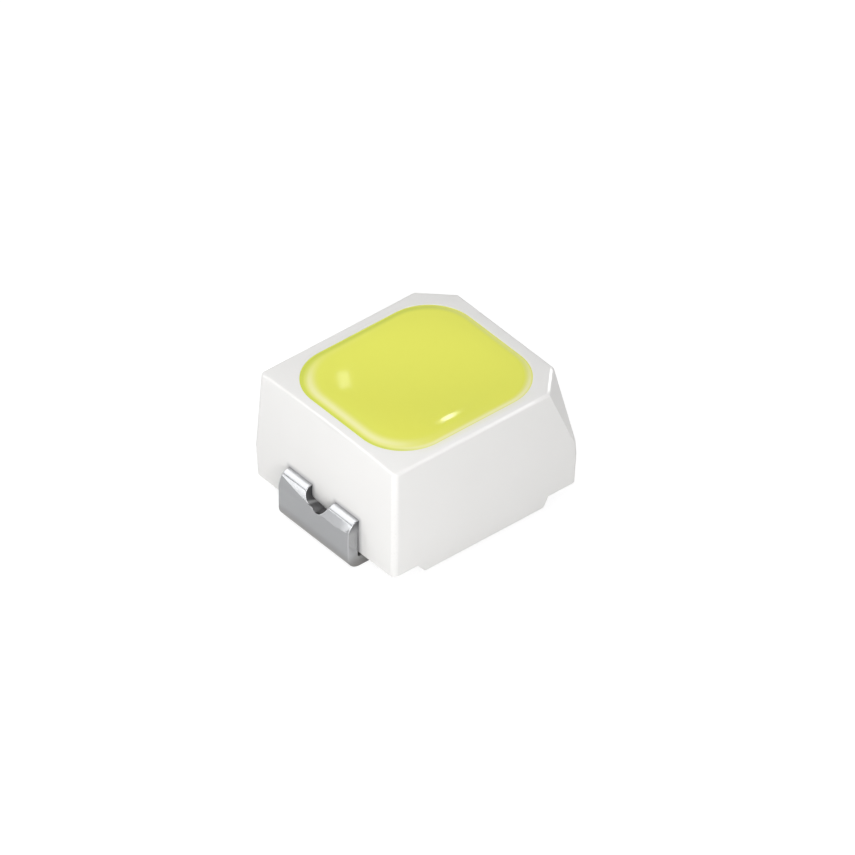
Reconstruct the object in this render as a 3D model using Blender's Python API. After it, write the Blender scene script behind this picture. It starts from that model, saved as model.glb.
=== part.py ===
"""A two-lead top-view surface-mount LED, 3.5 mm from lead to lead.

A white housing is moulded round two folded sheet leads. Its cup holds the chip, its adhesive, two gold
bond wires and the phosphor silicone that fills the cup to the brim.

X runs from lead to lead, with the cathode end at +X. Z is up, and the leads stand on z = 0.
"""

import math

import bmesh
import bpy
from mathutils import Vector

MM = 0.001

# Clearances. The whole part is 3.5 mm long and its sheet 0.17 mm thick, so these are a few micrometres.
FIT_GAP = 0.005 * MM
LEAD_STANDOFF = 0.010 * MM
TAIL_CLEARANCE = 0.05 * MM

# Overall sizes
OVERALL_LENGTH = 3.50 * MM
TOP_HEIGHT = 1.91 * MM
BODY_WIDTH = 2.88 * MM

# Housing: sides, corners and edges
END_DRAFT_ABOVE = math.radians(2.2)
END_DRAFT_BELOW = math.radians(1.5)
SIDE_DRAFT_ABOVE = math.radians(2.7)
SIDE_DRAFT_BELOW = math.radians(3.1)
CORNER_RADIUS = 0.08 * MM
TOP_EDGE_RADIUS = 0.045 * MM
CHAMFER_LEG = 0.415 * MM
CHAMFER_DEPTH = 1.16 * MM

# Housing: the underside, with a recess at each end for the folded tail of a lead
BLOCK_STANDOFF = 0.07 * MM
RECESS_DEPTH = 0.156 * MM
ANODE_RECESS_LENGTH = 0.42 * MM
CATHODE_RECESS_LENGTH = 0.50 * MM
ANODE_BLOCK_SLOPE = 0.13 * MM
CATHODE_BLOCK_SLOPE = 0.07 * MM
BLOCK_EDGE_RADIUS = 0.06 * MM

# Housing: the reflector cup
RIM_X = 0.179 * MM
RIM_Y = 0.170 * MM
WINDOW_CORNER_RADIUS = 0.69 * MM
CUP_WALL_ANGLE = math.radians(18.0)
CUP_FLOOR_CORNER_RADIUS = 0.42 * MM

# Encapsulant: how its surface swells between its edges
SWELL_HEIGHT = 0.040 * MM
SWELL_WIDTH = 0.24 * MM
SWELL_POWER = 2.2
RIM_DIP = 0.010 * MM

# Leads
SHEET = 0.17 * MM
LEAD_WIDTH = 1.43 * MM
BEND_INSIDE_RADIUS = 0.03 * MM
LEAD_LEVEL = 0.691 * MM
PAD_WIDTH = 2.00 * MM
PAD_CORNER_RADIUS = 0.08 * MM
PAD_WALL = 0.37 * MM
SHOULDER_SLOPE = 0.05 * MM
PAD_SPLIT = 0.20 * MM
PAD_BEYOND_ADHESIVE = 0.08 * MM

# Notch punched through each lead where it bends
NOTCH_WIDTH = 0.47 * MM
NOTCH_TURN = math.radians(87.0)
NOTCH_ROUNDNESS = 2.4
NOTCH_SKEW = 0.08
NOTCH_IN_BODY = 0.19 * MM

# Chip and its adhesive
DIE_LENGTH = 0.45 * MM
DIE_WIDTH = 0.30 * MM
DIE_HEIGHT = 0.12 * MM
MESA_HEIGHT = 0.008 * MM
MESA_INSET = 0.012 * MM
CONTACT_RADIUS = 0.040 * MM
CONTACT_HEIGHT = 0.004 * MM
CONTACT_FROM_END = 0.065 * MM
CONTACT_BAY = 0.012 * MM
BOND_LINE = 0.015 * MM
ADHESIVE_SPREAD = 0.055 * MM
ADHESIVE_EDGE = 0.006 * MM
ADHESIVE_CLIMB = 0.045 * MM

# Bond wires
WIRE_RADIUS = 0.0125 * MM
BALL_RADIUS = 0.034 * MM
BALL_HEIGHT = 0.020 * MM
STITCH_WIDTH = 0.055 * MM
STITCH_THICKNESS = 0.010 * MM
STITCH_LENGTH = 0.060 * MM
LOOP_RISE = 0.16 * MM

# Facets
CORNER_STEPS = 6
WINDOW_STEPS = 16
BEND_STEPS = 12
NOTCH_STEPS = 20
SWELL_STEPS = 8
WIRE_SIDES = 8
LOOP_STEPS = 18
ROUND_SIDES = 16

# Levels and places worked out from the sizes above
BODY_LENGTH = OVERALL_LENGTH - 2 * (SHEET + LEAD_STANDOFF)
LEAD_TOP = LEAD_LEVEL + SHEET / 2
BEND_OUTSIDE_RADIUS = BEND_INSIDE_RADIUS + SHEET
BEND_X = OVERALL_LENGTH / 2 - BEND_OUTSIDE_RADIUS
RECESS_CEILING = BLOCK_STANDOFF + RECESS_DEPTH
TOP_HALF_X = BODY_LENGTH / 2 - (TOP_HEIGHT - LEAD_LEVEL) * math.tan(END_DRAFT_ABOVE)
TOP_HALF_Y = BODY_WIDTH / 2 - (TOP_HEIGHT - LEAD_LEVEL) * math.tan(SIDE_DRAFT_ABOVE)
WINDOW_HALF_X = TOP_HALF_X - RIM_X
WINDOW_HALF_Y = TOP_HALF_Y - RIM_Y
DIE_BOTTOM = LEAD_TOP + FIT_GAP + BOND_LINE + FIT_GAP
DIE_TOP = DIE_BOTTOM + DIE_HEIGHT
CONTACT_TOP = DIE_TOP + MESA_HEIGHT + CONTACT_HEIGHT
ADHESIVE_END = DIE_LENGTH / 2 + ADHESIVE_SPREAD
CATHODE_PAD_END = ADHESIVE_END + PAD_BEYOND_ADHESIVE
ANODE_PAD_END = CATHODE_PAD_END + PAD_SPLIT
CUP_FLOOR_END = WINDOW_HALF_X - (TOP_HEIGHT - LEAD_TOP) * math.tan(CUP_WALL_ANGLE)


# Building blocks


def clear_scene():
    for old in list(bpy.data.objects):
        bpy.data.objects.remove(old, do_unlink=True)


def finish_material(name, colour, roughness, metallic=0.0):
    material = bpy.data.materials.new(name)
    material.use_nodes = True
    shader = material.node_tree.nodes["Principled BSDF"]
    shader.inputs["Base Color"].default_value = (*colour, 1.0)
    shader.inputs["Roughness"].default_value = roughness
    shader.inputs["Metallic"].default_value = metallic
    material.diffuse_color = (*colour, 1.0)
    return material


def object_from(name, bm, material=None):
    """Turns a bmesh into a linked object whose faces point outwards."""
    bmesh.ops.recalc_face_normals(bm, faces=bm.faces)
    mesh = bpy.data.meshes.new(name)
    bm.to_mesh(mesh)
    bm.free()
    obj = bpy.data.objects.new(name, mesh)
    bpy.context.scene.collection.objects.link(obj)
    if material is not None:
        mesh.materials.append(material)
        mesh.shade_smooth()
        mesh.set_sharp_from_angle(angle=math.radians(30.0))
    return obj


def cutter_from(name, bm):
    cutter = object_from(name, bm)
    cutter.hide_render = True
    cutter.display_type = "WIRE"
    return cutter


def combine(obj, tool, operation):
    modifier = obj.modifiers.new(f"{operation.lower()} {tool.name}", "BOOLEAN")
    modifier.operation = operation
    modifier.solver = "EXACT"
    modifier.object = tool


def loft(rings):
    """A closed solid through rings of equal count: a side of quads and a cap at each end."""
    bm = bmesh.new()
    rows = [[bm.verts.new(point) for point in ring] for ring in rings]
    count = len(rings[0])
    for low, high in zip(rows, rows[1:]):
        for i in range(count):
            j = (i + 1) % count
            bm.faces.new((low[i], low[j], high[j], high[i]))
    bm.faces.new(list(reversed(rows[0])))
    bm.faces.new(rows[-1])
    return bm


def extrude_across(outline, half_width):
    """A prism across Y from an outline of (x, z) points."""
    return loft([[(x, y, z) for x, z in outline] for y in (-half_width, half_width)])


def arc(centre, radius, start, end, steps):
    """Points (u, v) along an arc from one angle to another, both ends included."""
    turn = (end - start) / steps
    angles = [start + turn * i for i in range(steps + 1)]
    return [(centre[0] + radius * math.cos(a), centre[1] + radius * math.sin(a)) for a in angles]


def rounded_rectangle(half_x, half_y, radius, steps):
    """A rectangle with round corners, anticlockwise from the corner at +X, +Y."""
    points = []
    for quarter, (sx, sy) in enumerate(((1, 1), (-1, 1), (-1, -1), (1, -1))):
        centre = (sx * (half_x - radius), sy * (half_y - radius))
        start = quarter * math.pi / 2
        points += arc(centre, radius, start, start + math.pi / 2, steps)
    return points


def ring_at(outline, z):
    return [(x, y, z) for x, y in outline]


def fillet(before, corner, after, radius, steps):
    """Points that round the corner of a polyline with a tangent arc."""
    corner = Vector(corner)
    back = (Vector(before) - corner).normalized()
    ahead = (Vector(after) - corner).normalized()
    half = back.angle(ahead) / 2
    centre = corner + (back + ahead).normalized() * radius / math.sin(half)
    first = corner + back * radius / math.tan(half) - centre
    last = corner + ahead * radius / math.tan(half) - centre
    start = math.atan2(first.y, first.x)
    turn = math.remainder(math.atan2(last.y, last.x) - start, 2 * math.pi)
    return arc(centre, radius, start, start + turn, steps)


# Leads


def lead_sections(pad_end, grow):
    """Sections of the lead at +X, from its pad's free end to the tip of its tail.

    Each is the outer point, the inner point and the half width, with every face moved out by grow.
    """
    outer_top = LEAD_TOP + grow
    inner_top = LEAD_TOP - SHEET - grow
    pad_half = PAD_WIDTH / 2 - PAD_CORNER_RADIUS
    corner_x = pad_end + PAD_CORNER_RADIUS
    corner = arc((corner_x, pad_half), PAD_CORNER_RADIUS + grow, math.pi, math.pi / 2, CORNER_STEPS)
    shoulder_x = BODY_LENGTH / 2 - PAD_WALL + grow
    leg_half = LEAD_WIDTH / 2 + grow
    flat = corner + [(shoulder_x - SHOULDER_SLOPE, PAD_WIDTH / 2 + grow), (shoulder_x, leg_half)]
    sections = [((x, outer_top), (x, inner_top), half) for x, half in flat]
    outer_radius = BEND_OUTSIDE_RADIUS + grow
    inner_radius = BEND_INSIDE_RADIUS - grow
    upper_centre = (BEND_X, LEAD_TOP - BEND_OUTSIDE_RADIUS)
    lower_centre = (BEND_X, BEND_OUTSIDE_RADIUS)
    for centre, start, end in ((upper_centre, math.pi / 2, 0.0), (lower_centre, 0.0, -math.pi / 2)):
        outside = arc(centre, outer_radius, start, end, BEND_STEPS)
        inside = arc(centre, inner_radius, start, end, BEND_STEPS)
        sections += [(a, b, leg_half) for a, b in zip(outside, inside)]
    tail_end = tail_tip() - grow
    sections.append(((tail_end, -grow), (tail_end, SHEET + grow), leg_half))
    return sections


def tail_tip():
    """How near the middle a tail may reach: it stops short of the longer end of the housing's block."""
    shorter_recess = min(ANODE_RECESS_LENGTH, CATHODE_RECESS_LENGTH)
    return BODY_LENGTH / 2 - shorter_recess + TAIL_CLEARANCE


def lead_blank(side, pad_end, grow):
    """The folded sheet before its notch is cut. side is 1 for the lead at +X and -1 for its partner."""
    rings = []
    for outer, inner, half in lead_sections(pad_end, grow):
        corners = ((outer, -half), (outer, half), (inner, half), (inner, -half))
        rings.append([(side * point[0], y, point[1]) for point, y in corners])
    return loft(rings)


def notch_cutter(side, name, grow):
    """The notch, as punched in the flat sheet and then folded, so its walls stand square to the sheet.

    It starts inside the housing, as a slot that the moulding fills, and its round end reaches a little
    further round the bend on one side.
    """
    outer_radius = BEND_OUTSIDE_RADIUS + SHEET / 2
    inner_radius = BEND_INSIDE_RADIUS / 4
    centre_z = LEAD_TOP - BEND_OUTSIDE_RADIUS
    levels = (centre_z + outer_radius, centre_z + inner_radius)
    rings = []
    for x in (BODY_LENGTH / 2 - NOTCH_IN_BODY + grow, BEND_X):
        corners = ((-1, levels[0]), (1, levels[0]), (1, levels[1]), (-1, levels[1]))
        rings.append([(side * x, hand * (NOTCH_WIDTH / 2 - grow), z) for hand, z in corners])
    start = math.asin((BODY_LENGTH / 2 + FIT_GAP - BEND_X) / BEND_OUTSIDE_RADIUS)
    for step in range(NOTCH_STEPS + 1):
        share = math.sin(step / NOTCH_STEPS * math.radians(80.0))
        turn = start + (NOTCH_TURN - start) * share
        half = NOTCH_WIDTH / 2 * (1 - share ** NOTCH_ROUNDNESS) ** (1 / NOTCH_ROUNDNESS) - grow
        ring = []
        for radius, hand in ((outer_radius, -1), (outer_radius, 1), (inner_radius, 1), (inner_radius, -1)):
            angle = turn * (1 + side * hand * NOTCH_SKEW * share)
            x = BEND_X + radius * math.sin(angle)
            ring.append((side * x, hand * half, centre_z + radius * math.cos(angle)))
        rings.append(ring)
    return cutter_from(name, loft(rings))


def make_lead(name, side, pad_end, material):
    lead = object_from(name, lead_blank(side, pad_end, 0.0), material)
    combine(lead, notch_cutter(side, f"{name}_notch_cutter", 0.0), "DIFFERENCE")
    return lead


def channel_cutter(name, side, pad_end):
    """The space that a lead takes in the moulding: the lead itself, one gap larger all round."""
    channel = cutter_from(name, lead_blank(side, pad_end, FIT_GAP))
    combine(channel, notch_cutter(side, f"{name}_web_cutter", FIT_GAP), "DIFFERENCE")
    return channel


# Housing


def body_half_sizes(z):
    """Half the housing's length and width at a height: both shrink away from the parting line."""
    end_draft = END_DRAFT_ABOVE if z > LEAD_LEVEL else END_DRAFT_BELOW
    side_draft = SIDE_DRAFT_ABOVE if z > LEAD_LEVEL else SIDE_DRAFT_BELOW
    rise = abs(z - LEAD_LEVEL)
    return BODY_LENGTH / 2 - rise * math.tan(end_draft), BODY_WIDTH / 2 - rise * math.tan(side_draft)


def body_ring(z):
    return ring_at(rounded_rectangle(*body_half_sizes(z), CORNER_RADIUS, CORNER_STEPS), z)


def slant_corner(bm, hand):
    """Slices a slanted facet off the corner at +X, wide at the top and running out above the leads."""
    runout_z = TOP_HEIGHT - CHAMFER_DEPTH
    runout_x, runout_y = body_half_sizes(runout_z)
    first = Vector((TOP_HALF_X - CHAMFER_LEG, hand * TOP_HALF_Y, TOP_HEIGHT))
    second = Vector((TOP_HALF_X, hand * (TOP_HALF_Y - CHAMFER_LEG), TOP_HEIGHT))
    runout = Vector((runout_x, hand * runout_y, runout_z))
    normal = (second - first).cross(runout - first).normalized()
    if normal.x < 0:
        normal.negate()
    everything = bm.verts[:] + bm.edges[:] + bm.faces[:]
    sliced = bmesh.ops.bisect_plane(
        bm, geom=everything, dist=FIT_GAP / 100, plane_co=first, plane_no=normal, clear_outer=True
    )
    rim = [item for item in sliced["geom_cut"] if isinstance(item, bmesh.types.BMEdge)]
    bmesh.ops.contextual_create(bm, geom=rim)


def round_top_edge(bm):
    top_edges = [edge for edge in bm.edges if all(v.co.z > TOP_HEIGHT - FIT_GAP for v in edge.verts)]
    bmesh.ops.bevel(
        bm, geom=top_edges, offset=TOP_EDGE_RADIUS, segments=2, profile=0.5, affect="EDGES", clamp_overlap=True
    )


def underside_outline():
    """Everything under the housing: the end recesses, and the block between them with its rounded ends."""
    anode_end = -(BODY_LENGTH / 2 - ANODE_RECESS_LENGTH)
    cathode_end = BODY_LENGTH / 2 - CATHODE_RECESS_LENGTH
    far = BODY_LENGTH
    anode_slope = [
        (anode_end, RECESS_CEILING),
        (anode_end + ANODE_BLOCK_SLOPE, BLOCK_STANDOFF),
        (0.0, BLOCK_STANDOFF),
    ]
    cathode_slope = [
        (0.0, BLOCK_STANDOFF),
        (cathode_end - CATHODE_BLOCK_SLOPE, BLOCK_STANDOFF),
        (cathode_end, RECESS_CEILING),
    ]
    outline = [(-far, -far), (-far, RECESS_CEILING), (anode_end, RECESS_CEILING)]
    outline += fillet(*anode_slope, BLOCK_EDGE_RADIUS, CORNER_STEPS)
    outline += fillet(*cathode_slope, BLOCK_EDGE_RADIUS, CORNER_STEPS)
    outline += [(cathode_end, RECESS_CEILING), (far, RECESS_CEILING), (far, -far)]
    return outline


def cup_outline(z, shrink):
    """The cup at a height: the window at the top, narrowing to the floor between the leads' pads."""
    depth = TOP_HEIGHT - LEAD_TOP
    share = (TOP_HEIGHT - z) / depth
    inset = (TOP_HEIGHT - z) * math.tan(CUP_WALL_ANGLE) + shrink
    radius = WINDOW_CORNER_RADIUS + (CUP_FLOOR_CORNER_RADIUS - WINDOW_CORNER_RADIUS) * share - shrink
    return rounded_rectangle(WINDOW_HALF_X - inset, WINDOW_HALF_Y - inset, radius, WINDOW_STEPS)


def make_housing(material):
    bm = loft([body_ring(0.0), body_ring(LEAD_LEVEL), body_ring(TOP_HEIGHT)])
    bmesh.ops.recalc_face_normals(bm, faces=bm.faces)
    for hand in (-1, 1):
        slant_corner(bm, hand)
    round_top_edge(bm)
    housing = object_from("housing", bm, material)
    combine(housing, cutter_from("underside_cutter", extrude_across(underside_outline(), BODY_WIDTH)), "DIFFERENCE")
    above = TOP_HEIGHT + SHEET
    cup = loft([ring_at(cup_outline(z, 0.0), z) for z in (LEAD_TOP, above)])
    combine(housing, cutter_from("cup_cutter", cup), "DIFFERENCE")
    combine(housing, channel_cutter("anode_channel_cutter", -1, ANODE_PAD_END), "DIFFERENCE")
    combine(housing, channel_cutter("cathode_channel_cutter", 1, -CATHODE_PAD_END), "DIFFERENCE")
    return housing


# Chip, adhesive and wires


def box(half_x, half_y, low, high):
    outline = [(half_x, half_y), (-half_x, half_y), (-half_x, -half_y), (half_x, -half_y)]
    return loft([ring_at(outline, low), ring_at(outline, high)])


def disc(centre_x, radius, low, high):
    outline = arc((centre_x, 0.0), radius, 0.0, 2 * math.pi, ROUND_SIDES)[:-1]
    return loft([ring_at(outline, low), ring_at(outline, high)])


def contact_x(side):
    """Where a contact sits on the chip, along X: the p contact at -X and the n contact at +X."""
    return side * (DIE_LENGTH / 2 - CONTACT_FROM_END)


def make_die(material):
    """The chip: a block with a raised mesa, cut back round the n contact, and a film pad on each level."""
    die = object_from("led_die", box(DIE_LENGTH / 2, DIE_WIDTH / 2, DIE_BOTTOM, DIE_TOP), material)
    mesa_x = DIE_LENGTH / 2 - MESA_INSET
    mesa_y = DIE_WIDTH / 2 - MESA_INSET
    mesa = cutter_from("mesa_layer", box(mesa_x, mesa_y, DIE_BOTTOM + DIE_HEIGHT / 2, DIE_TOP + MESA_HEIGHT))
    bay_radius = CONTACT_RADIUS + CONTACT_BAY
    bay = cutter_from("n_bay_cutter", disc(contact_x(1), bay_radius, DIE_TOP, CONTACT_TOP + DIE_HEIGHT))
    p_contact = cutter_from("p_contact_film", disc(contact_x(-1), CONTACT_RADIUS, DIE_TOP - MESA_HEIGHT, CONTACT_TOP))
    n_contact = cutter_from("n_contact_film", disc(contact_x(1), CONTACT_RADIUS, DIE_TOP - MESA_HEIGHT, CONTACT_TOP))
    combine(die, mesa, "UNION")
    combine(die, bay, "DIFFERENCE")
    combine(die, p_contact, "UNION")
    combine(die, n_contact, "UNION")
    return die


def die_pocket(name):
    """The chip's block and mesa, one gap larger all round, for what is moulded or spread against it."""
    half_x = DIE_LENGTH / 2 + FIT_GAP
    half_y = DIE_WIDTH / 2 + FIT_GAP
    return cutter_from(name, box(half_x, half_y, DIE_BOTTOM - FIT_GAP, CONTACT_TOP + FIT_GAP))


def adhesive_bead(grow):
    """The bead under the chip, which climbs a little up its sides."""
    foot_x = DIE_LENGTH / 2 + ADHESIVE_SPREAD + grow
    foot_y = DIE_WIDTH / 2 + ADHESIVE_SPREAD + grow
    low = LEAD_TOP + FIT_GAP
    climb = BOND_LINE + ADHESIVE_CLIMB - ADHESIVE_EDGE
    profile = [(0.0, low - grow)]
    for share in (0.0, 0.35, 0.7, 1.0):
        profile.append((ADHESIVE_SPREAD * 0.8 * share ** 0.5, low + ADHESIVE_EDGE + climb * share + grow))
    rings = []
    for inset, z in profile:
        outline = rounded_rectangle(foot_x - inset, foot_y - inset, ADHESIVE_SPREAD + grow, CORNER_STEPS)
        rings.append(ring_at(outline, z))
    return loft(rings)


def make_adhesive(material):
    bead = object_from("die_attach", adhesive_bead(0.0), material)
    combine(bead, die_pocket("adhesive_pocket_cutter"), "DIFFERENCE")
    return bead


def wire_stations(start_x, end_x, grow):
    """Stations along a wire in the plane y = 0: place, direction, and half sizes across and in height.

    The ball stands on its contact, the loop rises from it and comes down to the flat stitch on the lead.
    """
    base = CONTACT_TOP + FIT_GAP
    heading = math.copysign(1.0, end_x - start_x)
    up = math.pi / 2
    stations = []
    ball = ((0.0, 0.75), (0.2, 1.0), (0.7, 1.0), (1.0, 0.7))
    for share, size in ball:
        lift = BALL_HEIGHT * share + grow * (2 * share - 1)
        radius = BALL_RADIUS * size + grow
        stations.append((start_x, base + lift, up, radius, radius))
    neck = base + BALL_HEIGHT + WIRE_RADIUS
    stitch_z = LEAD_TOP + FIT_GAP + STITCH_THICKNESS / 2
    landing_x = end_x - heading * STITCH_LENGTH
    rise = Vector((start_x, neck))
    control_1 = Vector((start_x, neck + LOOP_RISE * 1.5))
    control_2 = Vector((landing_x - heading * LOOP_RISE, stitch_z + LOOP_RISE * 1.1))
    landing = Vector((landing_x, stitch_z + WIRE_RADIUS - STITCH_THICKNESS / 2))
    wire = WIRE_RADIUS + grow
    for step in range(LOOP_STEPS + 1):
        t = step / LOOP_STEPS
        s = 1 - t
        place = s ** 3 * rise + 3 * s * s * t * control_1 + 3 * s * t * t * control_2 + t ** 3 * landing
        slope = 3 * (s * s * (control_1 - rise) + 2 * s * t * (control_2 - control_1) + t * t * (landing - control_2))
        stations.append((place.x, place.y, math.atan2(slope.y, slope.x), wire, wire))
    flat = STITCH_THICKNESS / 2 + grow
    level = 0.0 if heading > 0 else math.pi
    for share in (0.5, 1.0):
        x = landing_x + heading * (STITCH_LENGTH + grow) * share
        stations.append((x, stitch_z, level, STITCH_WIDTH / 2 * (0.6 + 0.4 * share) + grow, flat))
    return stations


def wire_solid(start_x, end_x, grow):
    rings = []
    for x, z, angle, across, height in wire_stations(start_x, end_x, grow):
        ring = []
        for i in range(WIRE_SIDES):
            turn = 2 * math.pi * (i + 0.5) / WIRE_SIDES
            side = across * math.cos(turn)
            lift = height * math.sin(turn)
            ring.append((x - lift * math.sin(angle), side, z + lift * math.cos(angle)))
        rings.append(ring)
    return loft(rings)


def wire_ends():
    """Start and end of each wire along X: from its contact on the chip to half way along the free lead."""
    anode_end = -(ANODE_PAD_END + CUP_FLOOR_END) / 2
    cathode_end = (ADHESIVE_END + CUP_FLOOR_END) / 2
    return {"anode_wire": (contact_x(-1), anode_end), "cathode_wire": (contact_x(1), cathode_end)}


# Encapsulant


def make_encapsulant(material):
    """Silicone that fills the cup and swells to a low pillow, with the chip and wires bedded in it."""
    low = LEAD_TOP + FIT_GAP
    edge = TOP_HEIGHT - RIM_DIP
    rings = [ring_at(cup_outline(z, FIT_GAP), z) for z in (low, edge)]
    for step in range(1, SWELL_STEPS + 1):
        share = step / SWELL_STEPS
        rise = (SWELL_HEIGHT + RIM_DIP) * (1 - (1 - share) ** SWELL_POWER)
        rings.append(ring_at(cup_outline(TOP_HEIGHT, FIT_GAP + SWELL_WIDTH * share), edge + rise))
    encapsulant = object_from("encapsulant", loft(rings), material)
    combine(encapsulant, cutter_from("adhesive_clearance_cutter", adhesive_bead(FIT_GAP)), "DIFFERENCE")
    combine(encapsulant, die_pocket("die_clearance_cutter"), "DIFFERENCE")
    for name, (start_x, end_x) in wire_ends().items():
        tunnel = cutter_from(f"{name}_clearance_cutter", wire_solid(start_x, end_x, FIT_GAP))
        combine(encapsulant, tunnel, "DIFFERENCE")
    return encapsulant


def main():
    clear_scene()
    white_plastic = finish_material("white_plastic", (0.84, 0.84, 0.83), 0.45)
    silver_plate = finish_material("silver_plate", (0.72, 0.73, 0.75), 0.28, 1.0)
    phosphor_silicone = finish_material("phosphor_silicone", (0.74, 0.75, 0.12), 0.22)
    sapphire = finish_material("sapphire", (0.35, 0.42, 0.50), 0.15)
    clear_adhesive = finish_material("clear_adhesive", (0.80, 0.78, 0.70), 0.30)
    gold = finish_material("gold", (0.85, 0.60, 0.22), 0.25, 1.0)
    make_housing(white_plastic)
    make_lead("anode_lead", -1, ANODE_PAD_END, silver_plate)
    make_lead("cathode_lead", 1, -CATHODE_PAD_END, silver_plate)
    make_die(sapphire)
    make_adhesive(clear_adhesive)
    for name, (start_x, end_x) in wire_ends().items():
        object_from(name, wire_solid(start_x, end_x, 0.0), gold)
    make_encapsulant(phosphor_silicone)


main()
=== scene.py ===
"""The looks of a small two-lead LED: white moulding, silicone window and folded silver leads.

Everything is in metres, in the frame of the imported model. The cathode end is at +X and Z is up.
"""

import math

import bmesh
import bpy
from mathutils import Matrix, Vector


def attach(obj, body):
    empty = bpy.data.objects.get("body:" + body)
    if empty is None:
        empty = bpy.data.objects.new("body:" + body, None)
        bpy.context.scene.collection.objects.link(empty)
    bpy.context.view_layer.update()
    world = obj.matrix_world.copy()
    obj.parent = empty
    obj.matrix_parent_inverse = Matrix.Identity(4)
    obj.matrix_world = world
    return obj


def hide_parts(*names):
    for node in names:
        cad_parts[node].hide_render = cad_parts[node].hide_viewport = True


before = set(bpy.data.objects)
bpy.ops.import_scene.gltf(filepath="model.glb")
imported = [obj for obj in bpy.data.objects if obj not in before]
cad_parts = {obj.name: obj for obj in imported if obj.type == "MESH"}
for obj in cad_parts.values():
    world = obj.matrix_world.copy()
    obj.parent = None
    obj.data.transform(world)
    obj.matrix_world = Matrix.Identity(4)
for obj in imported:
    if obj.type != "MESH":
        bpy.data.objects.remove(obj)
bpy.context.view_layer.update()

MM = 0.001

# The moulding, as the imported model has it, but with a finer round along its top edges
FIT_GAP = 0.005 * MM
TOP_HEIGHT = 1.91 * MM
BODY_LENGTH = 3.14 * MM
BODY_WIDTH = 2.88 * MM
PARTING_LEVEL = 0.691 * MM
END_DRAFT_ABOVE = math.radians(2.2)
END_DRAFT_BELOW = math.radians(1.5)
SIDE_DRAFT_ABOVE = math.radians(2.7)
SIDE_DRAFT_BELOW = math.radians(3.1)
CORNER_RADIUS = 0.08 * MM
TOP_EDGE_RADIUS = 0.038 * MM
SLANT_LEG = 0.415 * MM
SLANT_DEPTH = 1.16 * MM
BLOCK_LEVEL = 0.07 * MM
RECESS_CEILING = 0.226 * MM
ANODE_RECESS_LENGTH = 0.42 * MM
CATHODE_RECESS_LENGTH = 0.50 * MM
ANODE_BLOCK_SLOPE = 0.13 * MM
CATHODE_BLOCK_SLOPE = 0.07 * MM
BLOCK_EDGE_RADIUS = 0.06 * MM
RIM_X = 0.179 * MM
RIM_Y = 0.170 * MM
WINDOW_CORNER_RADIUS = 0.69 * MM
CUP_WALL_ANGLE = math.radians(18.0)
CUP_FLOOR_CORNER_RADIUS = 0.42 * MM

# How far the end wall at -X leans in at its top, and how much further in its middle
END_LEAN = 0.010 * MM
SINK = 0.034 * MM

# How much painted highlight and gloss the rounded edges of the moulding get, from 0 to 1
ANODE_EDGE_HIGHLIGHT = 0.2
NEAR_EDGE_HIGHLIGHT = (0.45, 1.0)
FAR_EDGE_HIGHLIGHT = 0.5
UPRIGHT_EDGE_HIGHLIGHT = 0.4

# The silicone's surface
CROWN_LEVEL = 1.9494 * MM
RIM_DIP = 0.007 * MM
CROWN_FALL = 0.8
SWELL_WIDTH = 0.34 * MM
RING_CROWDING = 1.8

# The leads
SHEET = 0.17 * MM
LEAD_WIDTH = 1.43 * MM
BEND_RADIUS = 0.20 * MM
BEND_X = 1.55 * MM
LEAD_TOP = PARTING_LEVEL + SHEET / 2
PAD_WIDTH = 2.00 * MM
PAD_CORNER_RADIUS = 0.08 * MM
SHOULDER_X = 1.20 * MM
SHOULDER_SLOPE = 0.05 * MM
ANODE_PAD_END = 0.56 * MM
CATHODE_PAD_END = -0.36 * MM
TAIL_TIP = 1.20 * MM
NOTCH_WIDTH = 0.47 * MM
NOTCH_START = 1.38 * MM
NOTCH_TURN = math.radians(87.0)
NOTCH_ROUNDNESS = 2.4
NOTCH_SKEW = 0.08
STAMPED_EDGE = 0.010 * MM
UPRIGHT = LEAD_TOP - 2 * BEND_RADIUS
SECOND_BEND = BEND_X + BEND_RADIUS * math.pi / 2 + UPRIGHT
TAIL_FLAT_END = SECOND_BEND + BEND_RADIUS * math.pi / 2 + BEND_X - TAIL_TIP
MOULD_GAP = 0.0008 * MM

# The facets that the forming tool presses on each lead's upper bend, in degrees of turn from the level top.
# The crease between the two facets is given at some places across the lead.
FLAT_START = 42.0
FLAT_END = 96.0
CREASE = (
    (-0.715 * MM, 47.0),
    (-0.164 * MM, 75.0),
    (0.13 * MM, 88.0),
    (0.50 * MM, 86.0),
    (0.66 * MM, 78.0),
    (0.715 * MM, 71.0),
)

# How finely curves are divided
CORNER_STEPS = 14
WINDOW_STEPS = 28
BEND_STEPS = 48
CHANNEL_STEPS = 16
NOTCH_STEPS = 18
SURFACE_RINGS = 28
ACROSS_STEPS = 110
EDGE_CUTS = 9
TOP_EDGE_STEPS = 5
STAMPED_EDGE_STEPS = 6
PAD_CORNER_STEPS = 8

# The leg is divided again at these distances past its upper bend, so that the notch's tip stays crisp
BELOW_NOTCH = (0.026 * MM, 0.045 * MM)

# Edges that turn by more degrees than this are shaded sharp
MOULDING_SHARP = 32.0
LEAD_SHARP = 17.0
SILICONE_SHARP = 40.0

# Edges of the flat sheet that turn by more than this are the punch's
SHARP_TURN = math.radians(60.0)

# How far the floor lies below the leads, so that no two faces share one plane
FLOOR_GAP = 0.001 * MM

# The photograph's viewing direction
VIEW_AZIMUTH = math.radians(-39.774)
VIEW_ELEVATION = math.radians(39.488)
VIEW_BACK = Vector(
    (
        math.sin(VIEW_AZIMUTH) * math.cos(VIEW_ELEVATION),
        -math.cos(VIEW_AZIMUTH) * math.cos(VIEW_ELEVATION),
        math.sin(VIEW_ELEVATION),
    )
)

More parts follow.
